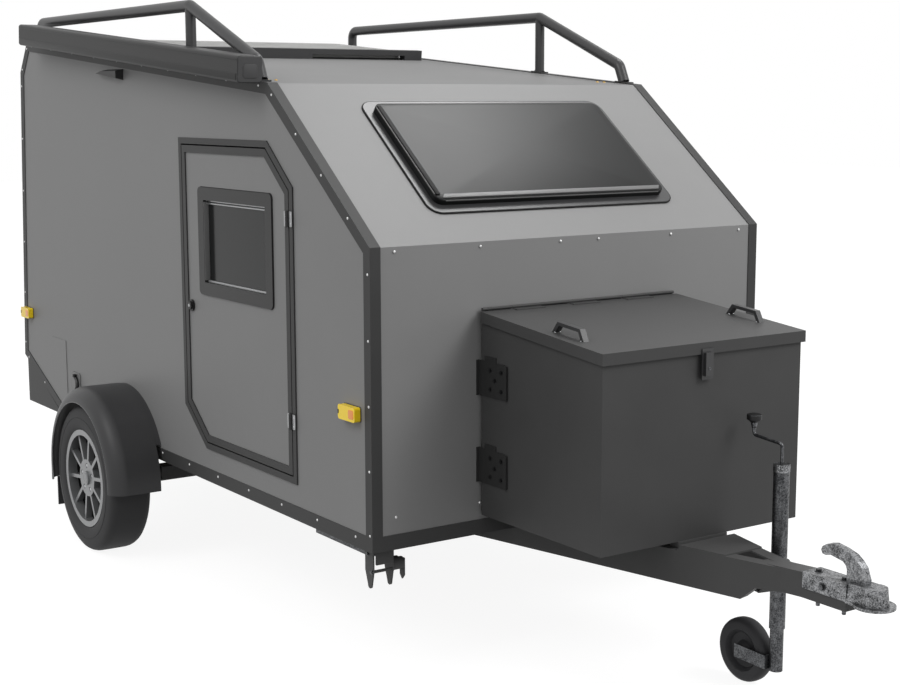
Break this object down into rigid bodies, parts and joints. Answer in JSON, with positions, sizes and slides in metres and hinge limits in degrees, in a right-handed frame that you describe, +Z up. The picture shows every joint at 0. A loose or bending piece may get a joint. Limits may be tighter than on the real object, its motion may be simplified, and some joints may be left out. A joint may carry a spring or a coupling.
{
  "type": "mini caravan",
  "caption": "Small angular travel trailer with a side door, sloping front window, drawbar storage box, awning case, roof rails and a jockey wheel",
  "frame": {"origin": "on the ground, under the middle of the overall length and width", "axes": "+X forward to the coupling, +Y to the caravan's left, +Z up; the door is on the -Y side"},
  "size_m": [4.389, 2.03, 2.126],
  "materials": {
    "side_panel": "satin grey sandwich panel with a plastic skin",
    "slope_panel": "light grey sandwich panel, lit from above",
    "floor_board": "sealed plywood floor",
    "door_skin": "satin grey door skin",
    "dark_trim": "dark grey powder-coated angle",
    "black_plastic": "black moulded plastic",
    "tinted_pane": "smoke-tinted window pane",
    "awning_case": "dark grey powder-coated extrusion",
    "rail_paint": "black powder-coated tube",
    "hatch_shell": "pale grey moulded lid",
    "galvanised": "hot-dip galvanised steel",
    "guard_plastic": "dark grey moulded mudguard",
    "tyre": "road tyre rubber",
    "alloy": "silver-grey cast alloy",
    "coupling_paint": "black pressed-steel head",
    "box_sheet": "dark grey sheet-metal box",
    "plated_steel": "zinc-plated steel tube",
    "grey_rubber": "solid jockey-wheel tyre",
    "amber_lens": "amber lens",
    "red_lens": "red lens",
    "mattress_cloth": "plain woven mattress cover"
  },
  "bodies": {
    "caravan": {"side_wall_right": "side_panel", "side_wall_left": "side_panel", "front_wall": "side_panel", "slope_wall": "slope_panel", "roof_panel": "slope_panel", "rear_top_panel": "slope_panel", "rear_wall": "side_panel", "floor_panel": "floor_board", "edge_trims": "dark_trim", "front_sill": "dark_trim", "door_frame": "dark_trim", "left_window_frame": "black_plastic", "left_window_pane": "tinted_pane", "front_window_frame": "black_plastic", "front_window_pane": "tinted_pane", "awning_cassette": "awning_case", "roof_rail_right": "rail_paint", "roof_rail_left": "rail_paint", "roof_hatch_lid": "hatch_shell", "roof_hatch_bar": "black_plastic", "chassis": "galvanised", "axle": "galvanised", "mudguard_right": "guard_plastic", "mudguard_left": "guard_plastic", "coupling": "coupling_paint", "rear_skirt": "dark_trim", "tail_lamps": "red_lens", "marker_lamps": "amber_lens", "vent_cowl": "black_plastic", "service_hatch": "side_panel", "power_inlet": "black_plastic", "storage_box": "box_sheet", "box_brackets": "box_sheet", "jack_tube": "plated_steel", "steady_brackets": "rail_paint", "mattress": "mattress_cloth"},
    "door": {"door_panel": "door_skin", "door_edge": "dark_trim", "door_lock": "black_plastic", "door_window_frame": "black_plastic", "door_window_pane": "tinted_pane"},
    "lid": {"box_lid": "box_sheet", "lid_hardware": "plated_steel"},
    "wheel_right": {"tyre_right": "tyre", "rim_right": "alloy"},
    "wheel_left": {"tyre_left": "tyre", "rim_left": "alloy"},
    "jack_slide_tube": {"jack_inner_tube": "plated_steel"},
    "fork": {"jockey_fork": "plated_steel"},
    "jockey": {"jockey_wheel": "grey_rubber"},
    "leg_front_right": {"steady_leg_front_right": "plated_steel"},
    "leg_front_left": {"steady_leg_front_left": "plated_steel"},
    "leg_rear_right": {"steady_leg_rear_right": "plated_steel"},
    "leg_rear_left": {"steady_leg_rear_left": "plated_steel"}
  },
  "joints": [
    {"name": "door_hinge", "type": "hinge", "parent": "caravan", "child": "door", "pos_m": [0.375, -0.8085, 1.063], "axis": [0, 0, 1], "range_deg": [0, 150]},
    {"name": "lid_hinge", "type": "hinge", "parent": "caravan", "child": "lid", "pos_m": [0.8815, 0, 1.1255], "axis": [0, -1, 0], "range_deg": [0, 80]},
    {"name": "wheel_right_spin", "type": "hinge", "parent": "caravan", "child": "wheel_right", "pos_m": [-1.0075, -0.9125, 0.2928], "axis": [0, 1, 0], "continuous": true},
    {"name": "wheel_left_spin", "type": "hinge", "parent": "caravan", "child": "wheel_left", "pos_m": [-1.0075, 0.9125, 0.2928], "axis": [0, 1, 0], "continuous": true},
    {"name": "jack_slide", "type": "slide", "parent": "caravan", "child": "jack_slide_tube", "axis": [0, 0, 1], "range_m": [-0.1, 0.06]},
    {"name": "fork_swivel", "type": "hinge", "parent": "jack_slide_tube", "child": "fork", "pos_m": [1.6515, 0.141, 0.128], "axis": [0, 0, 1], "continuous": true},
    {"name": "jockey_spin", "type": "hinge", "parent": "fork", "child": "jockey", "pos_m": [1.5255, 0.141, 0.1], "axis": [0, 1, 0], "continuous": true},
    {"name": "steady_front_right_hinge", "type": "hinge", "parent": "caravan", "child": "leg_front_right", "pos_m": [0.7895, -0.731, 0.378], "axis": [0, -1, 0], "range_deg": [0, 90]},
    {"name": "steady_front_left_hinge", "type": "hinge", "parent": "caravan", "child": "leg_front_left", "pos_m": [0.7895, 0.731, 0.378], "axis": [0, -1, 0], "range_deg": [0, 90]},
    {"name": "steady_rear_right_hinge", "type": "hinge", "parent": "caravan", "child": "leg_rear_right", "pos_m": [-1.5705, -0.731, 0.378], "axis": [0, 1, 0], "range_deg": [0, 90]},
    {"name": "steady_rear_left_hinge", "type": "hinge", "parent": "caravan", "child": "leg_rear_left", "pos_m": [-1.5705, 0.731, 0.378], "axis": [0, 1, 0], "range_deg": [0, 90]}
  ]
}
